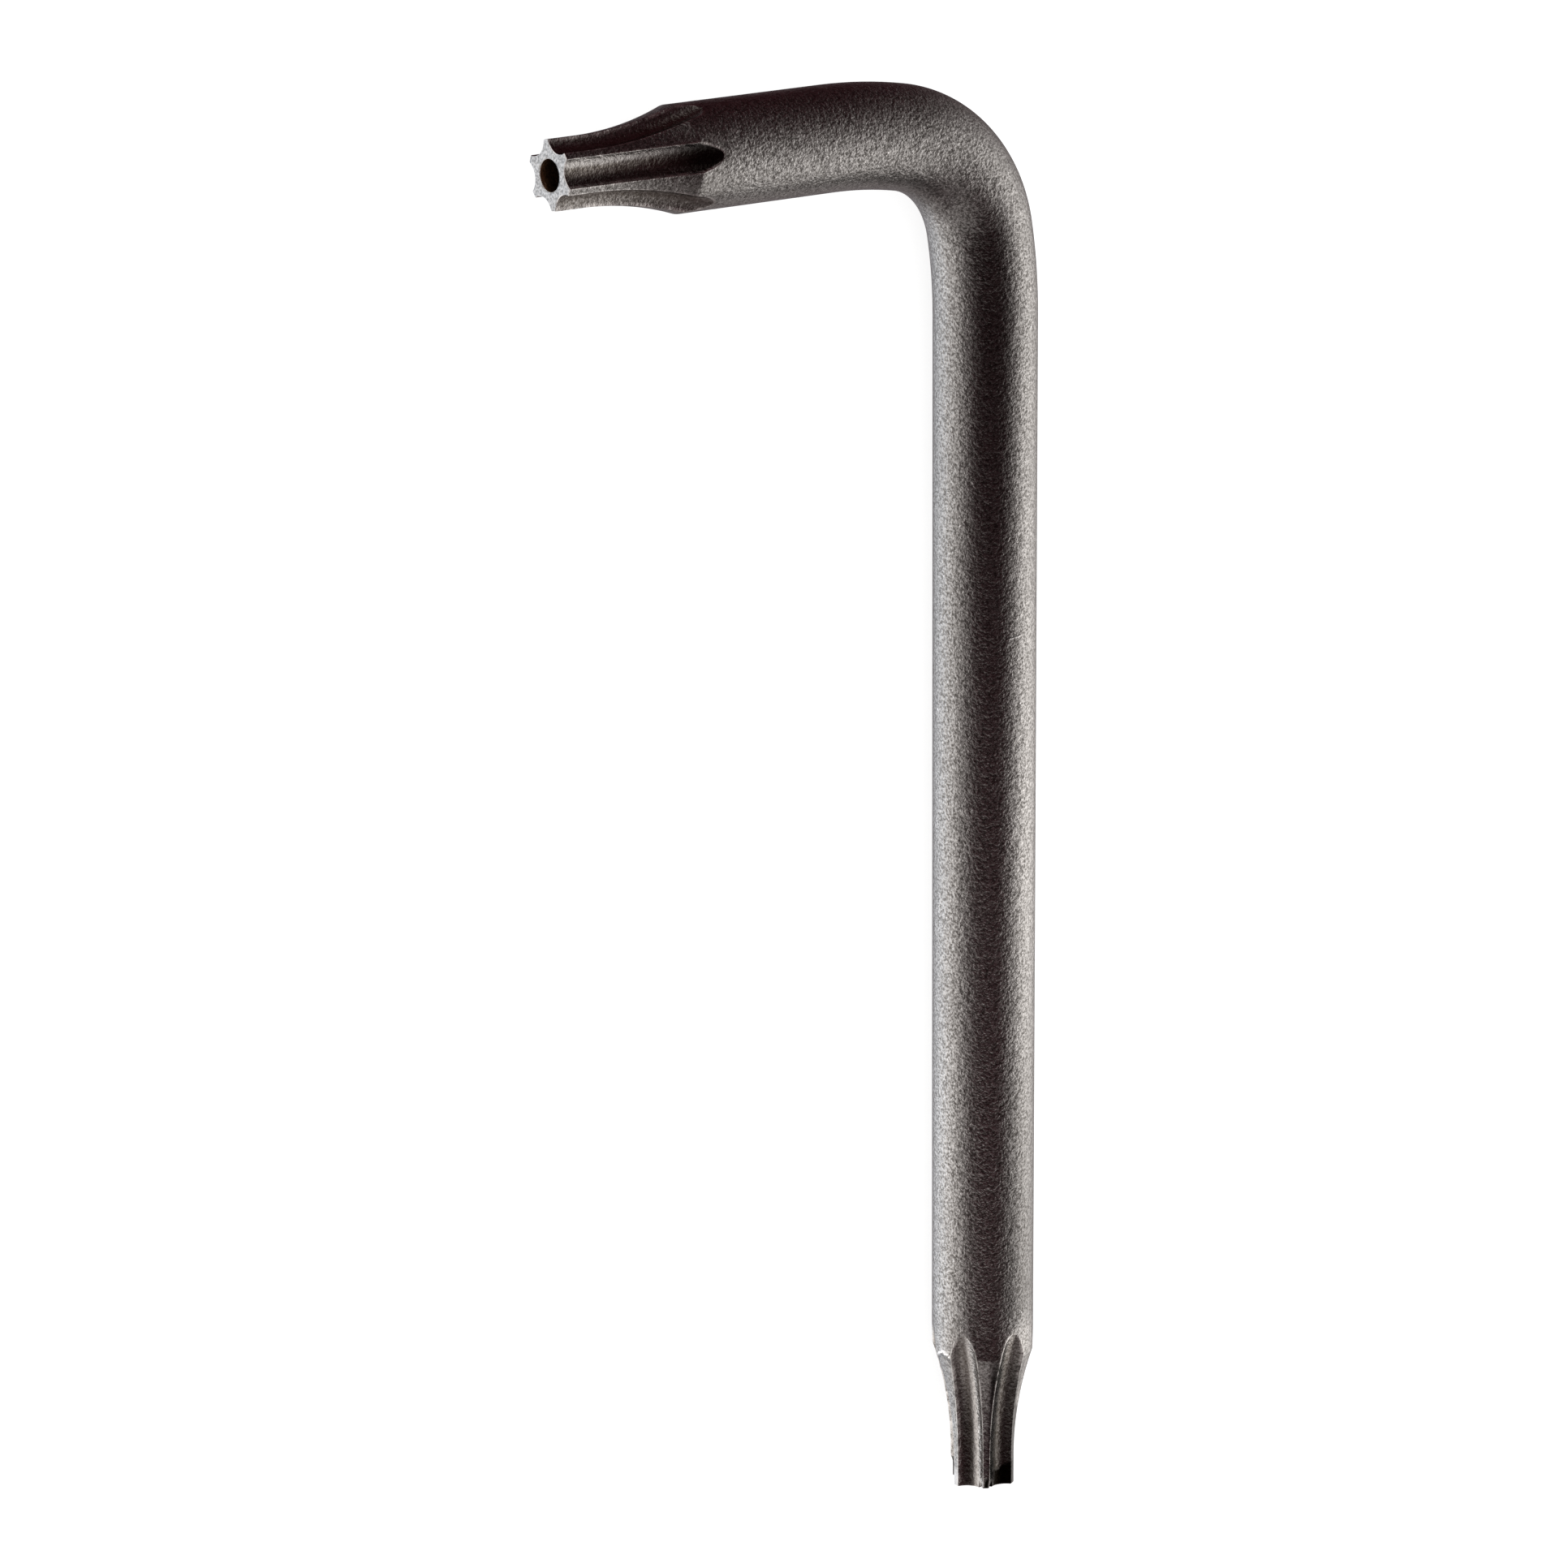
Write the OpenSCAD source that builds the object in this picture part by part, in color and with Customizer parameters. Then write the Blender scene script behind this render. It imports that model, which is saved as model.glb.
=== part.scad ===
// Tamper-resistant six-lobe L-key: one bar of round steel, bent once, with a drilled six-lobe tip on
// each end. The key lies flat, as it comes to rest: both arms rest on z = 0, with the long arm along Y
// and the short arm along X. The origin is on the surface it lies on, under the middle of its overall size.

/* [Bar] */
// Diameter of the round bar
bar_d = 6; // [5:0.1:8]
// Overall length of the long arm, from the outside of the short arm to the tip's end
long_reach = 85; // [60:0.5:150]
// Overall length of the short arm, from the outside of the long arm to the tip's end
short_reach = 33; // [30:0.5:60]
// Radius of the bend, along the middle of the bar
bend_r = 8.6; // [5:0.1:12]

/* [Six-lobe tips] */
// Diameter over the lobes
lobe_d = 3.92; // [3.6:0.01:4.2]
// Diameter between the floors of opposite flutes
root_d = 2.82; // [2.5:0.01:3]
// Radius of each flute
flute_r = 1.02; // [0.9:0.01:1.1]
// Length of the straight lobes, from the tip's end to the start of the flare
tip_straight = 1.8; // [0.5:0.1:4]

/* [Long arm's tip] */
// Radius of the flare that runs out to the bar
long_flare_r = 22; // [12:0.5:30]
// Turn of the lobes from the inside of the bend, counter-clockwise seen from the bend
long_turn = -1; // [-30:0.5:30]

/* [Short arm's tip] */
// Radius of the flare that runs out to the bar
short_flare_r = 19.5; // [12:0.5:30]
// Turn of the lobes from the inside of the bend, counter-clockwise seen from the bend
short_turn = -9.5; // [-30:0.5:30]

/* [Pin holes] */
// Diameter of the hole that clears the pin in a tamper-resistant screw
pin_hole_d = 1.8; // [1.2:0.05:2]
// Depth of the hole's straight wall
pin_hole_depth = 3.2; // [2:0.1:6]
// Angle across the drilled cone at the hole's bottom
drill_angle = 118; // [90:1:140]

/* [Hidden] */
$fn = 96;
over = 1;                                   // how far a cut runs past what it cuts
lobes = 6;
bar_r = bar_d / 2;
lobe_r = lobe_d / 2;
root_r = root_d / 2;
pin_hole_r = pin_hole_d / 2;
corner_x = short_reach / 2 - bar_r;         // where the middles of the two arms would cross
corner_y = long_reach / 2 - bar_r;
long_arm = long_reach - bar_r;              // from that crossing to the tip's end
short_arm = short_reach - bar_r;
drill_cone = pin_hole_r / tan(drill_angle / 2);

// How far along an arc of the given radius its surface has risen by a height
function arc_run(radius, rise) = sqrt(radius * radius - (radius - rise) * (radius - rise));

// Length of a tip, from its end to past where its flutes run out, in whole millimetres
function tip_reach(flare_r) = ceil(tip_straight + arc_run(flare_r, bar_r - root_r)) + over;

// Round blank of a tip: the lobes' diameter at first, then up an arc to the bar's. It is made as two
// halves, which meet along the middles of two lobes.
module tip_blank(flare_r, turn) {
    for (half = [0, 180])
        rotate_extrude(angle = 180, start = turn + half) difference() {
            square([bar_r, tip_reach(flare_r)]);
            translate([lobe_r, -over]) square([bar_r - lobe_r + over, tip_straight + over]);
            translate([lobe_r + flare_r, tip_straight]) circle(r = flare_r);
        }
}

// One flute, its floor on +X: straight at first, then up the same kind of arc until it leaves the bar.
// The circle that sweeps the arc starts on its outer side, where it cuts nothing.
module flute_cut(flare_r) {
    run_out = asin(arc_run(flare_r, bar_r - root_r + over) / flare_r);
    translate([root_r + flute_r, 0, -over]) cylinder(h = tip_straight + over, r = flute_r);
    translate([root_r + flare_r, 0, tip_straight]) mirror([1, 0, 0]) rotate([90, 0, 0])
        rotate_extrude(angle = run_out) translate([flare_r - flute_r, 0]) rotate(180) circle(r = flute_r);
}

// Blind drilled hole for the screw's pin
module pin_hole() {
    translate([0, 0, -over]) cylinder(h = pin_hole_depth + over, r = pin_hole_r);
    translate([0, 0, pin_hole_depth]) cylinder(h = drill_cone, r1 = pin_hole_r, r2 = 0);
}

// One end of the key, from its end at z = 0 to where its flutes have run out, one lobe at the given turn
module tip(flare_r, turn) {
    difference() {
        tip_blank(flare_r, turn);
        for (i = [0 : lobes - 1])
            rotate([0, 0, turn + (i + 0.5) * 360 / lobes]) flute_cut(flare_r);
        pin_hole();
    }
}

// One arm, along +Z from its tip's end to the bend
module arm(length, flare_r, turn) {
    tip(flare_r, turn);
    translate([0, 0, tip_reach(flare_r)]) cylinder(h = length - bend_r - tip_reach(flare_r), r = bar_r);
}

// Quarter turn of the bar, from the end of the short arm to the end of the long arm
module bend() {
    rotate_extrude(angle = 90) translate([bend_r, 0]) circle(r = bar_r);
}

// Puts what is made along +Z from a tip's end where the long arm is, its +X on the inside of the bend
module on_long_arm() {
    translate([corner_x, corner_y - long_arm, bar_r]) rotate([-90, 0, 0]) rotate([0, 0, 180]) children();
}

// The same for the short arm
module on_short_arm() {
    translate([corner_x - short_arm, corner_y, bar_r]) rotate([0, 90, 0]) rotate([0, 0, -90]) children();
}

module key() {
    color("dimgray") {
        on_long_arm() arm(long_arm, long_flare_r, long_turn);
        on_short_arm() arm(short_arm, short_flare_r, short_turn);
        translate([corner_x - bend_r, corner_y - bend_r, bar_r]) bend();
    }
}

key();
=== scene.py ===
"""Tamper-resistant six-lobe L-key: a round steel bar, bent once, with a drilled six-lobe tip at each end.

The key is one Geometry Nodes sweep, made plain before it is handed to the frame. Its sizes are the CAD
model's, in metres, but its bend eases in and out and its edges are rounded. The long arm lies along Y, the
short arm along X, and both rest on z = 0.
"""
from math import cos, pi, radians, sin, tan

import bpy
from mathutils import Matrix, Vector


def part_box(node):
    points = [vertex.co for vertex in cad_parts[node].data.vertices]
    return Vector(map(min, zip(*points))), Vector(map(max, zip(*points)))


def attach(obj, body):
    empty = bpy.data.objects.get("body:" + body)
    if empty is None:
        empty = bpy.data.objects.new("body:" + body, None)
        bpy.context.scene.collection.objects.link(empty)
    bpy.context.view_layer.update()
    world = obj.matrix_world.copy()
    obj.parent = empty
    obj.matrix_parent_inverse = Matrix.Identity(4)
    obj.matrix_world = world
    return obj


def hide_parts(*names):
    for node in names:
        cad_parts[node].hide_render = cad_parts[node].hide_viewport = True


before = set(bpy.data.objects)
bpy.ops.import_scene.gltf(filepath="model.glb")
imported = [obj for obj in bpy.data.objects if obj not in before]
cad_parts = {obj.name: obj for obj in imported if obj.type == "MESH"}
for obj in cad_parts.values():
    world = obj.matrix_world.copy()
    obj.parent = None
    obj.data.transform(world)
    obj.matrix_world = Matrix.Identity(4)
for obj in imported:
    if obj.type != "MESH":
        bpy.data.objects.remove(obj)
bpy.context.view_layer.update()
low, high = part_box("key")

MM = 0.001


def mm(*lengths):
    """Lengths given in millimetres."""
    return tuple(length * MM for length in lengths)


def deg(*angles):
    """Angles given in degrees."""
    return tuple(radians(angle) for angle in angles)


# ---------------------------------------------------------------- sizes
BAR_R = (high.z - low.z) / 2
LOBES = 6
LOBE_R = 1.96 * MM
ROOT_R = 1.41 * MM
FLUTE_R = 1.02 * MM
TIP_STRAIGHT = 1.8 * MM          # straight lobes, before the flare
LONG_FLARE_R = 22 * MM
SHORT_FLARE_R = 19.5 * MM
LONG_TURN = radians(-1)          # of a lobe from the inside of the bend
SHORT_TURN = radians(-9.5)
HOLE_R = 0.9 * MM
HOLE_DEPTH = 3.2 * MM
DRILL_ANGLE = radians(118)
DRILL_CONE = HOLE_R / tan(DRILL_ANGLE / 2)
EDGE_R = 0.05 * MM               # rounding of the tip's end
MOUTH_R = 0.02 * MM              # rounding of the hole's mouth
CORNER_R = 0.06 * MM             # rounding where a flute meets a lobe or the bar
EASE_R = 29 * MM                 # the bend starts and ends on this slack arc,
EASE_ANGLE = radians(10)
BEND_R = 7.2 * MM                # and is tightest in its middle
HALF_BEND = radians(45)


def bend_start():
    """Distance from where the arms' middles cross back to where either arm starts to bend."""
    across = EASE_R * (1 - cos(EASE_ANGLE)) + BEND_R * (cos(EASE_ANGLE) - cos(HALF_BEND))
    onward = EASE_R * sin(EASE_ANGLE) + BEND_R * (sin(HALF_BEND) - sin(EASE_ANGLE))
    return across + onward


LONG_SHANK = high.y - low.y - BAR_R - bend_start()      # from the tip's end to the bend
SHORT_SHANK = high.x - low.x - BAR_R - bend_start()

KEY_SIZES = {
    "Bar radius": BAR_R, "Lobe radius": LOBE_R, "Root radius": ROOT_R, "Flute radius": FLUTE_R,
    "Straight length": TIP_STRAIGHT, "Hole radius": HOLE_R, "Hole depth": HOLE_DEPTH,
    "Drill cone": DRILL_CONE, "Edge radius": EDGE_R, "Mouth radius": MOUTH_R, "Corner radius": CORNER_R,
    "Long flare radius": LONG_FLARE_R, "Short flare radius": SHORT_FLARE_R,
    "Long turn": LONG_TURN, "Short turn": SHORT_TURN,
    "Long shank": LONG_SHANK, "Short shank": SHORT_SHANK,
    "Ease radius": EASE_R, "Bend radius": BEND_R,
}


# ---------------------------------------------------------------- node trees
class Socket:
    """An output socket of a tree. Arithmetic on it adds Math nodes."""

    def __init__(self, graph, socket):
        self.graph = graph
        self.socket = socket

    def math(self, operation, *others):
        values = dict(enumerate((self, *others)))
        return self.graph.add("ShaderNodeMath", {"operation": operation}, values)

    def __add__(self, other):
        return self.math("ADD", other)

    def __sub__(self, other):
        return self.math("SUBTRACT", other)

    def __rsub__(self, other):
        return (self * -1) + other

    def __mul__(self, other):
        return self.math("MULTIPLY", other)

    def __truediv__(self, other):
        return self.math("DIVIDE", other)

    def __rtruediv__(self, other):
        return self.graph.add("ShaderNodeMath", {"operation": "DIVIDE"}, {0: other, 1: self})

    def __pow__(self, power):
        return self.math("POWER", power)

    def __neg__(self):
        return self * -1

    def __abs__(self):
        return self.math("ABSOLUTE")

    __radd__ = __add__
    __rmul__ = __mul__

    def at_least(self, least):
        return self.math("MAXIMUM", least)

    def at_most(self, most):
        return self.math("MINIMUM", most)

    def root(self):
        return self.math("SQRT")

    def cosine(self):
        return self.math("COSINE")

    def sine(self):
        return self.math("SINE")

    def floor(self):
        return self.math("FLOOR")

    def below(self, limit):
        return self.math("LESS_THAN", limit)


class Graph:
    """A node tree, of a shader or of geometry."""

    def __init__(self, tree):
        self.tree = tree

    def add(self, kind, settings=None, inputs=None, output=0):
        """One node: its settings first, then the values or links of its sockets. Gives one output."""
        node = self.tree.nodes.new(kind)
        for name, value in (settings or {}).items():
            setattr(node, name, value)
        for name, value in (inputs or {}).items():
            if isinstance(value, Socket):
                self.tree.links.new(value.socket, node.inputs[name])
            else:
                node.inputs[name].default_value = value
        return Socket(self, node.outputs[output]) if node.outputs else None

    def smooth(self, value, start, end):
        """0 before start, 1 after end, and a soft step between; start may be the larger."""
        sockets = {"Value": value, "From Min": start, "From Max": end}
        return self.add("ShaderNodeMapRange", {"interpolation_type": "SMOOTHSTEP"}, sockets)

    def mix(self, factor, a, b):
        """Colour a, turning to b as the factor goes from 0 to 1. Colour sockets are 6, 7 and, out, 2."""
        return self.add("ShaderNodeMix", {"data_type": "RGBA"}, {0: factor, 6: a, 7: b}, output=2)

    def dot(self, a, b):
        return self.add("ShaderNodeVectorMath", {"operation": "DOT_PRODUCT"}, {0: a, 1: b}, output="Value")

    def scale(self, vector, factor):
        return self.add("ShaderNodeVectorMath", {"operation": "SCALE"}, {0: vector, "Scale": factor})

    def plus(self, a, b):
        return self.add("ShaderNodeVectorMath", {"operation": "ADD"}, {0: a, 1: b})

    def vector(self, x, y, z):
        return self.add("ShaderNodeCombineXYZ", None, {0: x, 1: y, 2: z})

    def split(self, vector):
        """The X, Y and Z of a vector."""
        node = self.add("ShaderNodeSeparateXYZ", None, {0: vector}).socket.node
        return [Socket(self, output) for output in node.outputs]

    def noise(self, place, size, detail=2.0, roughness=0.5):
        """Soft noise between 0 and 1, whose lumps are about size across."""
        sockets = {"Vector": place, "Scale": 1 / size, "Detail": detail, "Roughness": roughness}
        return self.add("ShaderNodeTexNoise", None, sockets)

    def attribute(self, name):
        return self.add("ShaderNodeAttribute", {"attribute_name": name}, None, output="Fac")


# ---------------------------------------------------------------- rows and columns of the key's mesh
SECTOR = 2 * pi / LOBES
FLUTE_COLUMNS = 17               # from a flute's middle to its corner
LAND_COLUMNS = 7                 # from the corner to the middle of the lobe
HALF_SECTOR = FLUTE_COLUMNS + LAND_COLUMNS
COLUMNS = 2 * HALF_SECTOR * LOBES
CROWDING = 1.6                   # how much closer the columns lie at a corner
SPREAD = 4 * MM                  # past the flutes, the columns spread out again over this length
NARROWEST = radians(1)           # half the width that a flute's columns keep where it has run out
ON_BAR = radians(21)             # the same, on the plain bar
ARC_USED = 0.6                   # share of a flare's radius that its arc is followed for
FAR = 10 * MM                    # stands for a ray that misses the flute
TINY = 1e-6

# Rows in each stretch of an arm, from the bottom of the hole to the middle of the bend
STRETCHES = {
    "cone": 3, "hole": 6, "mouth": 2, "face": 5, "edge": 4, "straight": 14, "flare": 40, "run_out": 24,
    "spread": 8, "shank": 24, "ease": 8, "bend": 18,
}

# ---------------------------------------------------------------- marks of use, and painted light and shade
# Middle of each mark, as an angle round its arm from the inside of the bend, counter-clockwise as seen from
# the bend
LONG_MARKS = {
    "chip": radians(-61), "worn end": radians(59), "worn lobe": radians(-1), "bright end": radians(-1),
    "rubbed flank": radians(42), "painted dark side": radians(115), "painted dark band": radians(61.5),
    "dark flute": radians(21), "black flute": radians(89),
}
SHORT_MARKS = {"dark pocket": radians(-99.5), "rubbed flank": radians(-124)}

PATCH_CORE = 0.6                 # share of a patch's half width that is at full strength
CHIP_HALF_ANGLE = radians(16)    # a chip knocked out of one lobe at its very end
CHIP_LENGTH = 1.25 * MM
CHIP_CORE = 0.7                  # share of its length that is at full depth
CHIP_DEPTH = 0.13 * MM
CHIP_COLOUR = (0.05, 0.3)        # share of its depth over which its painted shade comes in
WORN_END_HALF_ANGLE = radians(15)
WORN_END_LENGTH = 0.8 * MM
WORN_END_DEPTH = 0.24 * MM

# Below, a pair is where a soft step starts and ends. Its lengths are from the tip's end, or from where the
# flutes run out, and its angles are from the mark's middle or, for a corner, from the corner. Left and right
# are as seen from above, looking from the tip's end to the bend.
CORNER_STEP = (-0.01, 0.03)
CORNER_LINE = mm(0.10, 0.015)    # half width of the bare worn line along a corner, a painted highlight too
FLUTES_END = mm(-0.1, 0.15)      # from where they run out
TIP_END = mm(0, 0.6)             # from the same place
RIM_LINE = (0.5, 0.2)            # painted highlight on the roundings: shares of a rounding's rows, to either side of its middle
FACE_INSIDE = (0.4, 1.0)         # the face's bounds, as shares of the rows in its two roundings
FACE_OUTSIDE = (0.2, 0.8)
FLOOR_SHARE = 0.75               # how much of a flute's half width is its floor
FLOOR_STEP = (0.0, -0.2)
WALL_LEVEL = 0.5                 # a flute's finish on its walls, where the floor's is 1

# The bright worn line where one lobe's crest meets the bar, with painted shade as a dark edge beside it and a
# lobe dulled by painted shade before it
ARCH_START = 0.30 * MM           # how far before the crest's end the line starts, at the lobe's corners,
ARCH_RISE = 0.5 * MM             # how much farther along it is in the lobe's middle,
ARCH_LEAN = 0.9 * MM             # and how far it leans back to the tip on its left, for each radian
WORN_LOBE_HALF_ANGLE = radians(34)
ARCH_LINE = mm(0.10, 0.03)
ARCH_SHADE = mm(0.15, 0.08)
ARCH_SHADE_BEFORE = 0.2 * MM     # how far the painted-shade dark edge lies before the line
LOBE_SHADE_LEVEL = 0.35
LOBE_SHADE = mm(-0.3, -0.6)      # from the line

BRIGHT_END_LEVEL = 0.5
BRIGHT_END_HALF_ANGLE = radians(8)
BRIGHT_END_REACH = mm(1.25, 0.9)
RUBBED_LEVEL = 0.26
RUBBED_HALF_ANGLE = radians(16)

DARK_SIDE_LEVEL = 0.5                # painted dark reflection on one side of the shank, darker towards its tip
DARK_SIDE_SIDES = deg(55, 25)
DARK_SIDE_REACH = mm(40, 10)
DARK_SIDE_START = mm(-0.5, 1.5)      # from where the flutes run out
BAND_LEVEL = 0.5                 # a painted dark reflection along the shank, stronger towards the bend
BAND_SIDES = deg(34, 10)
BAND_REACH = mm(34, 75)
BAND_EASE = 0.6                  # what the bend's slack arc counts for, where its tight one is 1
BAND_END = (0.5, 1.3)

# Painted shade on the floor of one flute
DARK_FLUTE_LEVEL = 0.5
DARK_FLUTE_SIDES = deg(15, 7)
DARK_FLUTE_REACH = mm(8, 4)
POCKET_LEVEL = 0.88              # a flute with painted shade where it runs out,
POCKET_REACH = mm(-4.5, -1)      # from there,
POCKET_WALL_LEVEL = 0.45         # and on one wall all along
POCKET_WALL = deg(4, 14)
POCKET_SIDES = deg(30, 26)

BLACK_LEVEL = 0.34               # a flute in black painted shade, but for a paler stripe along its floor
BLACK_STEPS = (                  # what is added to either side of the stripe, between two angles
    (0.58, deg(2, -8)),
    (0.27, deg(8, 16)),
    (0.26, deg(20, 28)),
)
BLACK_REACH = mm(-0.5, -3)       # from where it runs out
BLACK_END_LEAN = 0.8 * MM        # the stripe stops short of the end, and on a slant: this for each radian
BLACK_END = mm(1.2, 0.7)
BLACK_LEFT = deg(-30, -23)
BLACK_LEFT_OUTWARD = radians(8)  # how much farther it spreads on the left at the very end
BLACK_LEFT_END = mm(0.9, 0.4)
BLACK_RIGHT = deg(-2, 4)
BLACK_RIGHT_SIDE = radians(25)
BLACK_RIGHT_OUTWARD = radians(33)       # how much farther it spreads over the lobe on the right, near the end
BLACK_RIGHT_END = mm(5.5, 3.5)
DULLED_FROM = deg(12, 18)    # over these angles the corners have neither bare line nor painted highlight
DULLED_TO = deg(70, 60)
DULLED_REACH = mm(8, 6)


# ---------------------------------------------------------------- the key's mesh
def arc_rise(radius, run):
    """How far an arc of this radius has risen when it has run this far."""
    return radius - (radius * radius - run * run).root()


def arc_run(radius, rise):
    """How far an arc of this radius runs until it has risen this far."""
    return (radius * radius - (radius - rise) * (radius - rise)).root()


def corner_turn(crest, middle, deep, flute):
    """Angle from a flute's middle to its corner, where its ellipse meets the circle of the crests."""
    square = crest * crest
    a = square * (1 / (deep * deep) - 1 / (flute * flute))
    b = -2 * (crest * middle / (deep * deep))
    c = middle * middle / (deep * deep) + square / (flute * flute) - 1
    cosine = 2 * c / ((b * b - 4 * a * c).at_least(0).root() - b)
    return cosine.at_most(1).math("ARCCOSINE").at_least(NARROWEST)


def flute_wall(swing, middle, deep, flute):
    """How far out a flute's ellipse lies, at an angle from the flute's middle."""
    a = swing.cosine() ** 2 / (deep * deep) + swing.sine() ** 2 / (flute * flute)
    b = middle * swing.cosine() / (deep * deep)
    c = middle * middle / (deep * deep) - 1
    hit = b * b - a * c
    return (b - hit.at_least(0).root()) / a + hit.below(0) * FAR


class Arm:
    """One arm as far as the middle of the bend: along +Z from its tip's end, the bend's inside on +X.

    It is a grid of points: its columns run along the arm, and its rows go round it.
    """

    def __init__(self, g, size, name, marks):
        self.g = g
        self.size = size
        self.flare = size[name + " flare radius"]
        self.turn = size[name + " turn"]
        self.shank = size[name + " shank"]
        self.marks = marks
        rows = sum(STRETCHES.values())
        sockets = {"Size X": 1.0, "Size Y": 1.0, "Vertices X": COLUMNS + 1, "Vertices Y": rows + 1}
        self.grid = g.add("GeometryNodeMeshGrid", None, sockets)
        index = g.add("GeometryNodeInputIndex")
        self.column = ((index + 0.5) / (rows + 1)).floor()
        row = index - self.column * (rows + 1)
        self.done = {}               # how much of each stretch lies before a row, from 0 to 1
        first = 0
        for stretch, count in STRETCHES.items():
            self.done[stretch] = ((row - first) / count).at_least(0).at_most(1)
            first += count
        self.measure_along()
        self.turn_columns()
        self.measure_out()

    def measure_along(self):
        """Distance from the tip's end, measured along the bar."""
        size, done = self.size, self.done
        bar, straight, edge, mouth = (
            size[n] for n in ("Bar radius", "Straight length", "Edge radius", "Mouth radius")
        )
        crest_end = straight + arc_run(self.flare, bar - size["Lobe radius"])
        apex = straight + arc_run(self.flare, bar - size["Root radius"])
        edge_turn = done["edge"] * (pi / 2)
        along = size["Drill cone"] * (1 - done["cone"]) + (size["Hole depth"] - mouth) * (1 - done["hole"])
        along = along + mouth * (1 - done["mouth"]) + edge * (1 - edge_turn.cosine())
        along = along + (straight - edge) * done["straight"] + (crest_end - straight) * done["flare"]
        along = along + (apex - crest_end) * (1 - (1 - done["run_out"]) ** 2)
        along = along + done["spread"] ** 2 * SPREAD + (self.shank - apex - SPREAD) * done["shank"]
        self.crest_end = crest_end   # where the lobes' crests reach the bar
        self.apex = apex             # where the flutes run out
        self.edge_turn = edge_turn
        self.along = along

    def turn_columns(self):
        """Angle of each point. Columns follow the corners and crowd there, until the flutes end.

        The crest is how far out the lobes lie. A flute is an ellipse with its middle farther out than that,
        and it is this deep from there to its floor. The corner is an angle from the flute's middle, and so is
        the swing of each point.
        """
        g, size, flare = self.g, self.size, self.flare
        root, flute = size["Root radius"], size["Flute radius"]
        run = (self.along - size["Straight length"]).at_least(0).at_most(flare * ARC_USED)
        self.crest = (size["Lobe radius"] + arc_rise(flare, run)).at_most(size["Bar radius"])
        self.middle = root + flute + arc_rise(flare - flute, run)
        self.deep = self.middle - root - arc_rise(flare, run)
        past = g.smooth(self.done["spread"], 0.0, 1.0)
        self.corner = corner_turn(self.crest, self.middle, self.deep, flute) * (1 - past) + past * ON_BAR

        sector = (self.column / (2 * HALF_SECTOR)).floor()
        step = self.column - sector * (2 * HALF_SECTOR) - HALF_SECTOR
        in_flute = (abs(step) / FLUTE_COLUMNS).at_most(1)                           # 1 at a corner
        self.on_land = ((abs(step) - FLUTE_COLUMNS) / LAND_COLUMNS).at_least(0)     # 1 in a lobe's middle
        swing = self.corner * (1 - (1 - in_flute) ** CROWDING)
        self.swing = swing + (SECTOR / 2 - self.corner) * self.on_land ** CROWDING
        self.angle = (sector + 0.5) * SECTOR + step.math("SIGN") * self.swing + self.turn * (1 - past)

    def measure_out(self):
        """Distance of each point from the bar's middle: round crests, and flutes that are ellipses."""
        size, done, along = self.size, self.done, self.along
        hole, edge, mouth = size["Hole radius"], size["Edge radius"], size["Mouth radius"]
        wall = flute_wall(self.swing, self.middle, self.deep, size["Flute radius"])
        outer = self.crest.math("SMOOTH_MIN", wall, size["Corner radius"])
        chip_end = self.g.smooth((along - edge).at_least(0), CHIP_LENGTH, CHIP_LENGTH * CHIP_CORE)
        self.chip = self.patch("chip", CHIP_HALF_ANGLE) * chip_end
        towards_end = (1 - along / WORN_END_LENGTH).at_least(0)
        worn_end = self.patch("worn end", WORN_END_HALF_ANGLE) * towards_end ** 2
        outer = outer - self.chip * CHIP_DEPTH - worn_end * WORN_END_DEPTH
        radius = hole * done["cone"] + mouth * done["mouth"]
        radius = radius + (outer - edge - hole - mouth) * done["face"]
        self.radius = radius + edge * self.edge_turn.sine()

    def points(self):
        """Where the points lie: straight at first, then round the bend's slack arc, then its tight one."""
        ease, tight = self.size["Ease radius"], self.size["Bend radius"]
        slack_turn = self.done["ease"] * EASE_ANGLE
        bent = slack_turn + self.done["bend"] * (HALF_BEND - EASE_ANGLE)
        on_bend = 1 - self.done["bend"].below(TINY)
        inward = ease * (1 - slack_turn.cosine()) + tight * on_bend * (cos(EASE_ANGLE) - bent.cosine())
        onward = ease * slack_turn.sine() + tight * on_bend * (bent.sine() - sin(EASE_ANGLE))
        x = inward + self.radius * self.angle.cosine() * bent.cosine()
        y = self.radius * self.angle.sine()
        z = self.along + onward - self.radius * self.angle.cosine() * bent.sine()
        return x, y, z

    def placed(self, *place):
        """The arm's grid with its points at their places, and what the finish follows stored on them."""
        grid = self.grid
        for name, mask in self.masks().items():
            sockets = {"Geometry": grid, "Name": name, "Value": mask}
            grid = self.g.add("GeometryNodeStoreNamedAttribute", None, sockets)
        sockets = {"Geometry": grid, "Position": self.g.vector(*place)}
        return self.g.add("GeometryNodeSetPosition", None, sockets)

    def off(self, mark):
        """How far round a point is from a mark's middle, or pi where the arm hasn't got that mark."""
        if mark not in self.marks:
            return self.angle * 0 + pi
        sockets = {0: self.angle - self.marks[mark], 1: pi, 2: -pi}
        return self.g.add("ShaderNodeMath", {"operation": "WRAP"}, sockets)

    def patch(self, mark, half_width):
        """1 round a mark's middle, and 0 past half_width to either side."""
        return self.g.smooth(abs(self.off(mark)), half_width, half_width * PATCH_CORE)

    def from_end(self, start, end):
        """A soft step along the arm, between two distances from the tip's end."""
        return self.g.smooth(self.along, start, end)

    def from_apex(self, start, end):
        """A soft step along the arm, between two distances from where the flutes run out."""
        return self.g.smooth(self.along, self.apex + start, self.apex + end)

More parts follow.
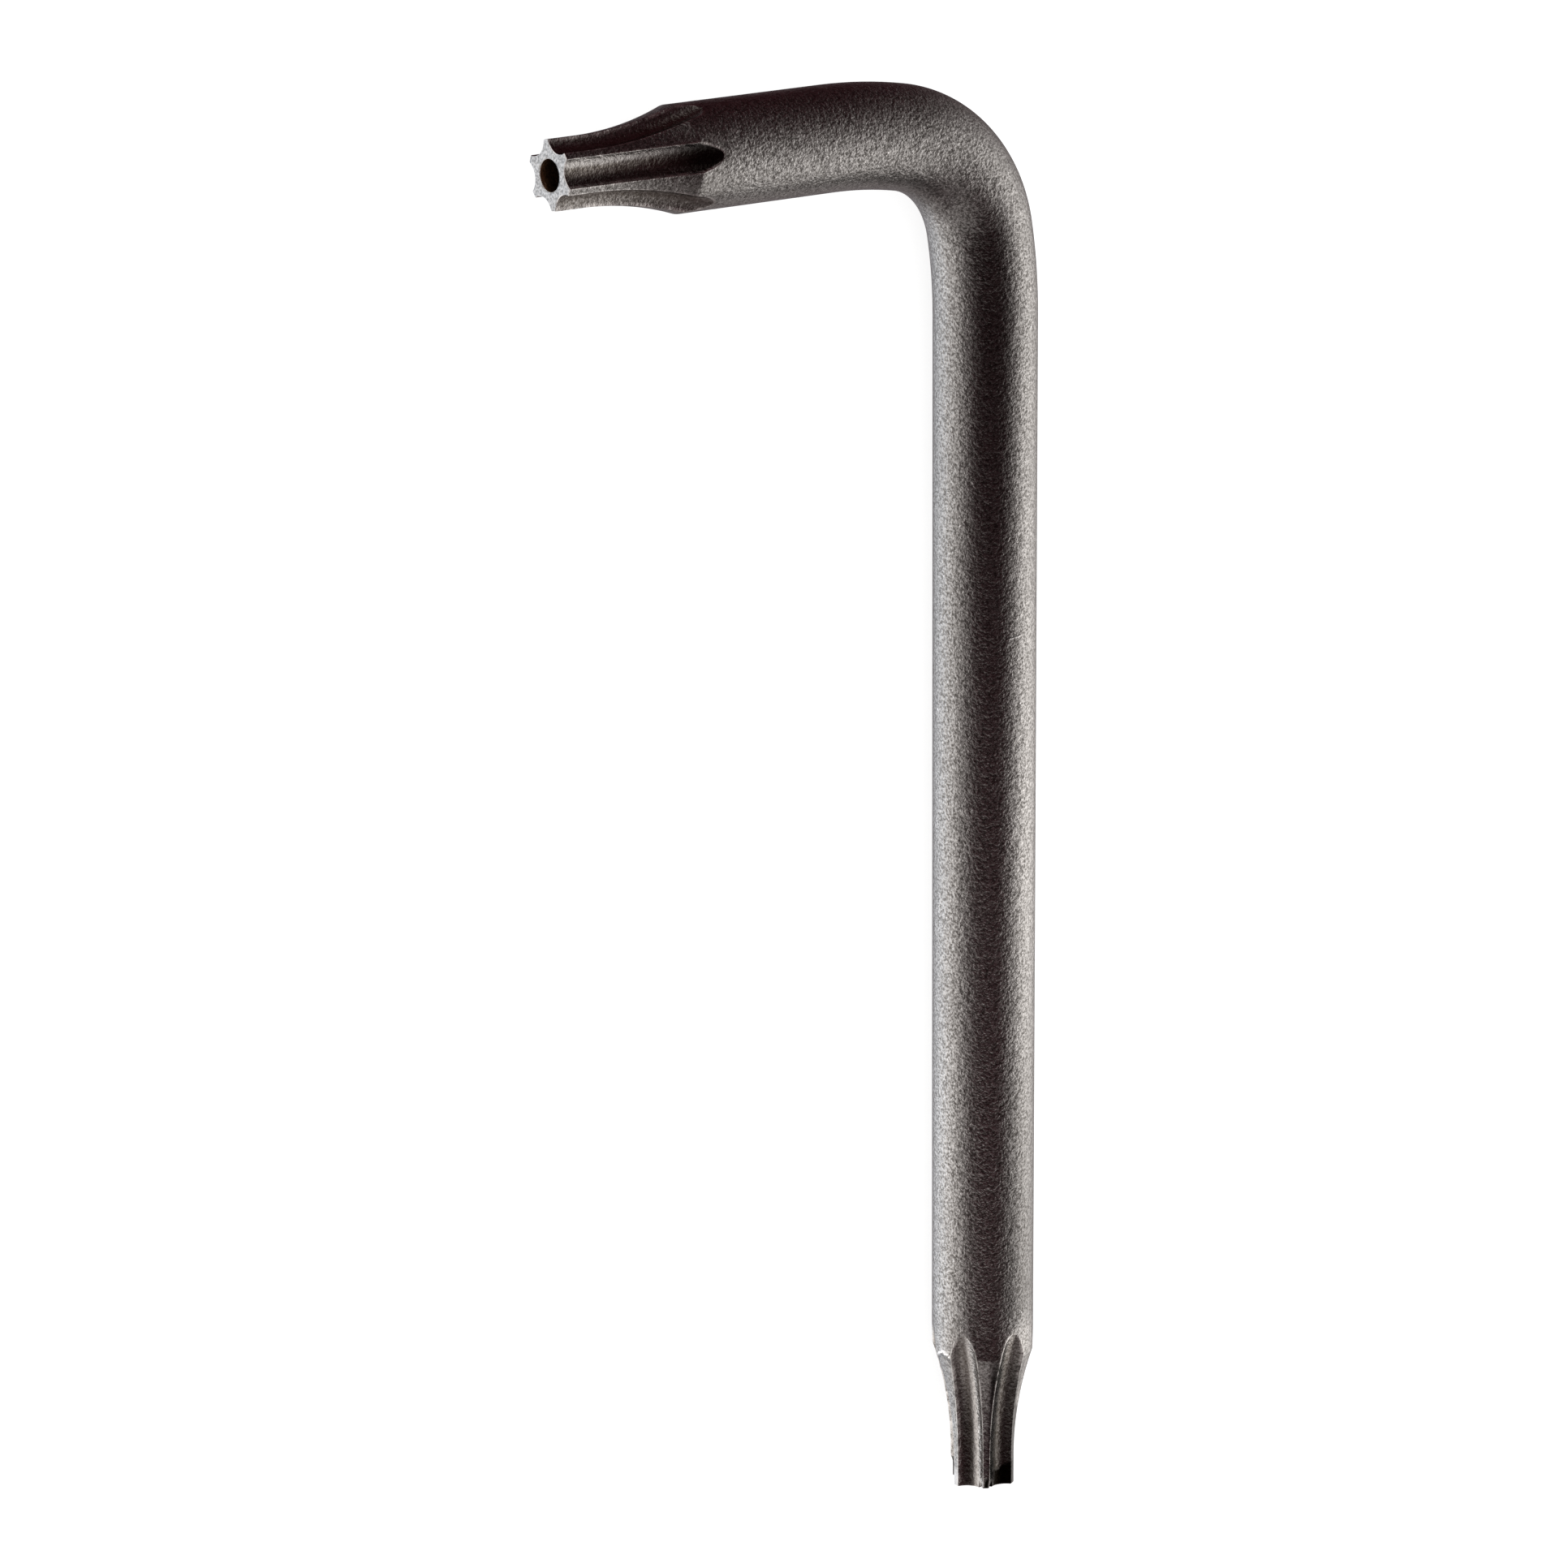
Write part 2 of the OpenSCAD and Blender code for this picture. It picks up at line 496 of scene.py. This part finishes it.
    def masks(self):
        """What the finish follows, by name: marks of use, and painted light and shade."""
        g, done = self.g, self.done
        fluted = 1 - self.from_apex(*FLUTES_END)
        in_flute = g.smooth(self.corner - self.swing, *CORNER_STEP)
        # Painted shade in the flutes and painted dark reflections on the shank, all as one black
        dark_flutes = self.dark_flute().at_least(self.dark_pocket()) * (in_flute * fluted * done["edge"])
        black = (self.black_flute() * done["edge"]).at_least(self.painted_dark_side()).at_least(self.painted_dark_band())
        # Bare worn line along the corners, also a painted highlight
        off_corner = abs(self.swing - self.corner) * self.radius
        edge = (g.smooth(off_corner, *CORNER_LINE) * fluted * done["edge"]).at_most(1)
        # Painted highlight along the roundings of the tip's end and of the hole's mouth
        rim_highlight = g.smooth(abs(done["edge"] - 0.5), *RIM_LINE) + g.smooth(abs(done["mouth"] - 0.5), *RIM_LINE)
        rubbed = self.patch("rubbed flank", RUBBED_HALF_ANGLE) * in_flute
        bright_end = self.patch("bright end", BRIGHT_END_HALF_ANGLE) * self.from_end(*BRIGHT_END_REACH)
        rubbed = (rubbed * RUBBED_LEVEL + bright_end * BRIGHT_END_LEVEL).at_most(1)
        floor = g.smooth(self.swing - self.corner * FLOOR_SHARE, *FLOOR_STEP)
        return {
            "edge": edge * (1 - self.dulled()),
            "shoulder": self.shoulder_wear_and_shade(),
            "black": black.at_least(dark_flutes),
            "rubbed": rubbed * done["edge"] * fluted,
            "rim_highlight": rim_highlight.at_most(1),
            "face": g.smooth(done["mouth"], *FACE_INSIDE) * (1 - g.smooth(done["edge"], *FACE_OUTSIDE)),
            "bore": 1 - g.smooth(done["mouth"], 0.0, 1.0),
            "flute": in_flute * fluted * done["edge"] * (WALL_LEVEL + floor * (1 - WALL_LEVEL)),
            "tip": (1 - self.from_apex(*TIP_END)) * done["edge"],
            # painted shade in the chip
            "chip": g.smooth(self.chip, *CHIP_COLOUR) * done["edge"],
        }

    def shoulder_wear_and_shade(self):
        """1 on the bright line where a crest is worn, and below 0 on its painted-shade dark edge and the lobe
        dulled by painted shade.
        """
        g = self.g
        bow = ARCH_RISE * self.on_land * (2 - self.on_land)
        lean = self.off("worn lobe").at_most(0) * ARCH_LEAN
        arch = self.along - self.crest_end + ARCH_START - bow - lean
        line = g.smooth(abs(arch), *ARCH_LINE) - g.smooth(abs(arch + ARCH_SHADE_BEFORE), *ARCH_SHADE)
        line = line - LOBE_SHADE_LEVEL * g.smooth(arch, *LOBE_SHADE)
        on_lobe = g.smooth(self.swing - self.corner, *CORNER_STEP)
        return line * (self.patch("worn lobe", WORN_LOBE_HALF_ANGLE) * on_lobe)

    def painted_dark_side(self):
        """How dark the painted dark reflection on one side of the shank is."""
        dark_reflection = self.g.smooth(abs(self.off("painted dark side")), *DARK_SIDE_SIDES)
        return dark_reflection * (DARK_SIDE_LEVEL * self.from_end(*DARK_SIDE_REACH)) * self.from_apex(*DARK_SIDE_START)

    def painted_dark_band(self):
        """How dark the painted dark reflection in a band along the shank is. It ends on the bend."""
        band = self.g.smooth(abs(self.off("painted dark band")), *BAND_SIDES)
        band = band * (BAND_LEVEL * self.from_end(*BAND_REACH))
        return band * (1 - self.g.smooth(self.done["ease"] * BAND_EASE + self.done["bend"], *BAND_END))

    def dark_flute(self):
        """How dark the painted shade on the floor of the dark flute is."""
        dark = self.g.smooth(abs(self.off("dark flute")), *DARK_FLUTE_SIDES)
        return dark * (DARK_FLUTE_LEVEL * self.from_end(*DARK_FLUTE_REACH))

    def dark_pocket(self):
        """How dark the painted shade in the flute with the dark pocket is."""
        off = self.off("dark pocket")
        wall = POCKET_WALL_LEVEL * self.g.smooth(off, *POCKET_WALL)
        pocket = (POCKET_LEVEL * self.from_apex(*POCKET_REACH)).at_least(wall)
        return pocket * self.g.smooth(abs(off), *POCKET_SIDES)

    def black_flute(self):
        """How dark the black flute's painted shade is, and that on the lobe beside it near the tip's end."""
        g = self.g
        off = self.off("black flute")
        black = BLACK_LEVEL
        for level, step in BLACK_STEPS:
            black = black + level * g.smooth(off, *step)
        black = black * self.from_apex(*BLACK_REACH)
        black = (black + g.smooth(self.along - off * BLACK_END_LEAN, *BLACK_END)).at_most(1)
        off_left = off + BLACK_LEFT_OUTWARD * self.from_end(*BLACK_LEFT_END)
        off_right = off - (BLACK_RIGHT_SIDE + BLACK_RIGHT_OUTWARD * self.from_end(*BLACK_RIGHT_END))
        return black * g.smooth(off_left, *BLACK_LEFT) * (1 - g.smooth(off_right, *BLACK_RIGHT))

    def dulled(self):
        """1 where the corners on the black flute's right are as dull as the rest, without their bare line and
        painted highlight.
        """
        off = self.off("black flute")
        dulled = self.g.smooth(off, *DULLED_FROM) * self.g.smooth(off, *DULLED_TO)
        return dulled * self.from_end(*DULLED_REACH)


def key_tree(material):
    """The whole key: the two arms set at right angles and closed into one skin."""
    tree = bpy.data.node_groups.new("six_lobe_key", "GeometryNodeTree")
    tree.interface.new_socket("Geometry", in_out="OUTPUT", socket_type="NodeSocketGeometry")
    for name, value in KEY_SIZES.items():
        item = tree.interface.new_socket(name, in_out="INPUT", socket_type="NodeSocketFloat")
        item.default_value = value
    g = Graph(tree)
    group_in = tree.nodes.new("NodeGroupInput")
    size = {name: Socket(g, group_in.outputs[name]) for name in KEY_SIZES}

    arm = Arm(g, size, "Long", LONG_MARKS)
    x, y, z = arm.points()
    long_arm = arm.placed(high.x - BAR_R - x, low.y + z, BAR_R + y)
    arm = Arm(g, size, "Short", SHORT_MARKS)
    x, y, z = arm.points()
    short_arm = arm.placed(low.x + z, high.y - BAR_R - x, BAR_R - y)

    join = tree.nodes.new("GeometryNodeJoinGeometry")
    for part in (short_arm, long_arm):
        tree.links.new(part.socket, join.inputs[0])
    skin = Socket(g, join.outputs[0])
    skin = g.add("GeometryNodeMergeByDistance", None, {"Geometry": skin, "Distance": TINY})
    skin = g.add("GeometryNodeSetShadeSmooth", None, {"Geometry": skin})
    skin = g.add("GeometryNodeRealizeInstances", None, {"Geometry": skin})
    skin = g.add("GeometryNodeSetMaterial", None, {"Geometry": skin, "Material": material})
    g.add("NodeGroupOutput", None, {"Geometry": skin})
    return tree


def make_key(material):
    """The key as a plain mesh, from its tree."""
    tree = key_tree(material)
    carrier = bpy.data.objects.new("key_sweep", bpy.data.meshes.new("key_sweep"))
    bpy.context.scene.collection.objects.link(carrier)
    modifier = carrier.modifiers.new("key", "NODES")
    modifier.node_group = tree
    for item in tree.interface.items_tree:
        if item.in_out == "INPUT":
            modifier[item.identifier] = KEY_SIZES[item.name]
    evaluated = carrier.evaluated_get(bpy.context.evaluated_depsgraph_get())
    mesh = bpy.data.meshes.new_from_object(evaluated)
    mesh.name = "key_body"
    bpy.data.objects.remove(carrier)
    key = bpy.data.objects.new("key_body", mesh)
    bpy.context.scene.collection.objects.link(key)
    return key


# ---------------------------------------------------------------- finishes
def grey(level, warmth=0.0):
    """A nearly neutral colour: warmth adds red and takes away blue."""
    return (level * (1 + warmth), level, level * (1 - warmth), 1)


WHITE = grey(1)
BORE_BROWN = (0.20, 0.12, 0.07, 1)
GRAIN = 0.16 * MM                # size of the blasted grain, and of what is mixed into it
SPECK = 0.1 * MM
LUMP = 0.45 * MM
NICK = 0.45 * MM
RUB = 0.5 * MM
MOTTLE = 1.6 * MM
GRAIN_STEP = (0.3, 0.7)          # in the noise, from one grey to the other
RELIEF = 0.04 * MM               # height of the grain
ROUGHNESS = 0.2
FLOOR_PAINT = grey(0.45)
FLOOR_GLOW = 0.8                 # what the camera sees on top of that

# A short scratch across the top of the long arm: a painted highlight line and a painted shade line beside it
SCRATCH_X = 13.26 * MM           # its middle, in the key's own place
SCRATCH_Y = 9.845 * MM
SCRATCH_SLOPE = 0.139
SCRATCH_LINE = mm(0.05, 0.02)    # half width, as a soft step
SCRATCH_SHADE = 0.075 * MM       # from the bright line to the dark one
SCRATCH_ENDS = mm(0.6, 0.4)      # half length
SCRATCH_TOP = mm(4, 5)           # it shows only above this height
DARKER_TO_BEND = mm(-25, 30)     # along Y


def blank_material(name):
    """A new material, and its tree without any nodes."""
    material = bpy.data.materials.new(name)
    material.use_nodes = True
    material.node_tree.nodes.clear()
    return material, Graph(material.node_tree)


def scratch_highlight_and_shade(g, x, y, z):
    """1 on the scratch's painted highlight, -1 on its painted shade line, and 0 elsewhere."""
    off = (y - SCRATCH_Y) - (x - SCRATCH_X) * SCRATCH_SLOPE
    mark = g.smooth(abs(off), *SCRATCH_LINE) - g.smooth(abs(off - SCRATCH_SHADE), *SCRATCH_LINE)
    return mark * g.smooth(abs(x - SCRATCH_X), *SCRATCH_ENDS) * g.smooth(z, *SCRATCH_TOP)


def steel_finish():
    """Blackened, blasted steel: a sugary grain, dark smoother flutes, bare metal where it is worn. Painted
    highlights lie on the roundings, corners and scratch, painted shade in the chip, by the shoulder and in
    some flutes, and painted dark reflections along the shank.
    """
    material, g = blank_material("blackened_steel")
    point = g.add("ShaderNodeTexCoord", None, None, output="Object")
    x, y, z = g.split(point)
    flute, tip, edge, face, rim_highlight = (g.attribute(n) for n in ("flute", "tip", "edge", "face", "rim_highlight"))
    shoulder, black, rubbed, bore, chip = (
        g.attribute(n) for n in ("shoulder", "black", "rubbed", "bore", "chip")
    )

    grain = g.noise(point, GRAIN, detail=1.5, roughness=0.6)
    speck = g.noise(point, SPECK, detail=1)
    mottle = g.noise(point, MOTTLE, detail=2)
    lump = g.noise(point, LUMP, detail=1)
    nick = g.smooth(g.noise(point, NICK, detail=2), 0.74, 0.78)
    worn = g.smooth(g.noise(point, RUB, detail=3), 0.3, 0.6)
    grainy = g.smooth(grain, *GRAIN_STEP)
    scratch = scratch_highlight_and_shade(g, x, y, z)

    body = g.mix(grainy, grey(0.12, 0.05), grey(0.48, 0.01))
    layers = (                       # from the bottom up: how much covers what is below, and its colour
        (g.smooth(speck, 0.58, 0.7) * 0.5, grey(0.8, 0.01)),
        (g.smooth(mottle, 0.4, 0.7) * 0.15, grey(0.25, 0.03)),
        (g.smooth(y, *DARKER_TO_BEND) * 0.24, grey(0.02)),
        (tip * 0.12, grey(0.1, 0.1)),
        (flute * 0.45, grey(0.13, 0.22)),
        (nick * 0.7, grey(0.9)),
        # the scratch's painted highlight, then its painted shade
        (scratch.at_least(0) * 0.6, grey(0.85)),
        ((-scratch).at_least(0) * 0.8, grey(0.04)),
        (rubbed, grey(0.85)),
        # the shoulder's worn line, then its painted shade
        (shoulder.at_least(0), grey(0.95)),
        ((-shoulder).at_least(0) * 0.7, grey(0.1, -0.1)),
        # painted shade in the flutes and painted dark reflections on the shank
        (black, grey(0.004, 0.35)),
        # bare worn corners, also a painted highlight
        (edge * worn * 0.8, grey(0.7, 0.02)),
        (face, g.mix(grainy, grey(0.18), grey(0.42))),
        # painted highlight on the roundings
        (rim_highlight * 0.8, grey(0.95)),
        (bore, BORE_BROWN),
        # painted shade in the chip
        (chip * 0.9, grey(0.06)),
    )
    for cover, colour in layers:
        body = g.mix(cover, body, colour)

    roughness = ROUGHNESS + (mottle - 0.5) * 0.1 - flute * 0.06 + bore * 0.15
    smoother = 1 - (tip * 0.3 + face * 0.3).at_most(0.8)
    relief = (grain + speck * 0.4 + lump * 1.1) * smoother
    bump = g.add("ShaderNodeBump", None, {"Strength": 1.0, "Distance": RELIEF, "Height": relief})
    shader = g.add("ShaderNodeBsdfPrincipled", None, {
        "Base Color": body, "Metallic": 1.0, "Roughness": roughness, "Normal": bump,
    })
    g.add("ShaderNodeOutputMaterial", None, {"Surface": shader})
    return material


def floor_finish():
    """White to the camera but for the key's shadow."""
    material, g = blank_material("white_floor")
    seen = g.add("ShaderNodeLightPath", None, None, output="Is Camera Ray")
    paint = g.add("ShaderNodeBsdfDiffuse", None, {"Color": FLOOR_PAINT})
    glow = g.add("ShaderNodeEmission", None, {"Color": WHITE, "Strength": seen * FLOOR_GLOW})
    both = g.add("ShaderNodeAddShader", None, {0: paint, 1: glow})
    g.add("ShaderNodeOutputMaterial", None, {"Surface": both})
    return material


# ---------------------------------------------------------------- studio
# Soft glows that reflections see: which way each lies, how narrow it is, how bright, and the cut that ends it
GLOWS = (
    (Vector((0.90, -0.34, 0.25)), 5.0, 2.1, 0.025),          # right
    (Vector((-0.60, -0.25, -0.75)), 3.0, 1.9, 0.068),        # low on the left
    (Vector((-0.40, -0.80, 0.45)), 16.0, 0.52, 0.01),        # in front
    (Vector((-0.60, 0.80, 0.10)), 7.0, 0.9, 0.07),           # behind
)
BETWEEN_GLOWS = (0.045, 0.014, 0.017)
COOL_FROM_BELOW = (-0.4, -1.0)   # from here down to straight below, the glows turn from warm to cool
WARM = (1.03, 1.0, 0.96, 1)
COOL = (0.96, 1.0, 1.04, 1)
FLOOR_HALF = 3.0


def studio_light():
    """Plain white light all round the key, and dark with four soft glows in its reflections."""
    world = bpy.data.worlds.new("studio")
    bpy.context.scene.world = world
    world.use_nodes = True
    world.node_tree.nodes.clear()
    g = Graph(world.node_tree)
    direction = g.add("ShaderNodeTexCoord")
    glossy = g.add("ShaderNodeLightPath", None, None, output="Is Glossy Ray")
    upward = g.split(direction)[2]

    light = 0
    for towards, narrowness, level, cut in GLOWS:
        near = g.dot(direction, tuple(towards.normalized()))
        light = light + (((near - 1) * narrowness).math("EXPONENT") - cut).at_least(0) * level
    tint = g.mix(g.smooth(upward, *COOL_FROM_BELOW), WARM, COOL)
    reflected = g.plus(g.scale(tint, light), BETWEEN_GLOWS)
    colour = g.mix(glossy, WHITE, reflected)
    background = g.add("ShaderNodeBackground", None, {"Color": colour, "Strength": 1.0})
    g.add("ShaderNodeOutputWorld", None, {"Surface": background})


def make_floor():
    """A flat floor, which reflections don't see."""
    mesh = bpy.data.meshes.new("floor")
    corners = [(x * FLOOR_HALF, y * FLOOR_HALF, 0) for x, y in ((-1, -1), (1, -1), (1, 1), (-1, 1))]
    mesh.from_pydata(corners, [], [(0, 1, 2, 3)])
    floor = bpy.data.objects.new("floor", mesh)
    bpy.context.scene.collection.objects.link(floor)
    mesh.materials.append(floor_finish())
    floor.visible_glossy = False


def make_camera():
    """Looks down on the key from behind its short tip, rolled so that the long arm hangs down."""
    azimuth, elevation, roll = deg(-114.6501, 50.472, 109.1657)
    distance = 366.973 * MM
    aim = Vector((-0.959, 2.958, 2.955)) * MM
    data = bpy.data.cameras.new("camera")
    data.lens = 148.874
    data.sensor_width = 36
    data.clip_start = 0.01
    camera = bpy.data.objects.new("camera", data)
    bpy.context.scene.collection.objects.link(camera)
    turn = Matrix.Rotation(azimuth, 4, "Z") @ Matrix.Rotation(pi / 2 - elevation, 4, "X")
    turn = turn @ Matrix.Rotation(roll, 4, "Z")
    camera.matrix_world = Matrix.Translation(aim + turn.to_3x3() @ Vector((0, 0, distance))) @ turn
    bpy.context.scene.camera = camera


make_camera()
studio_light()
make_floor()
key = make_key(steel_finish())
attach(key, "root")
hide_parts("key")
bpy.context.scene.view_settings.view_transform = "Standard"
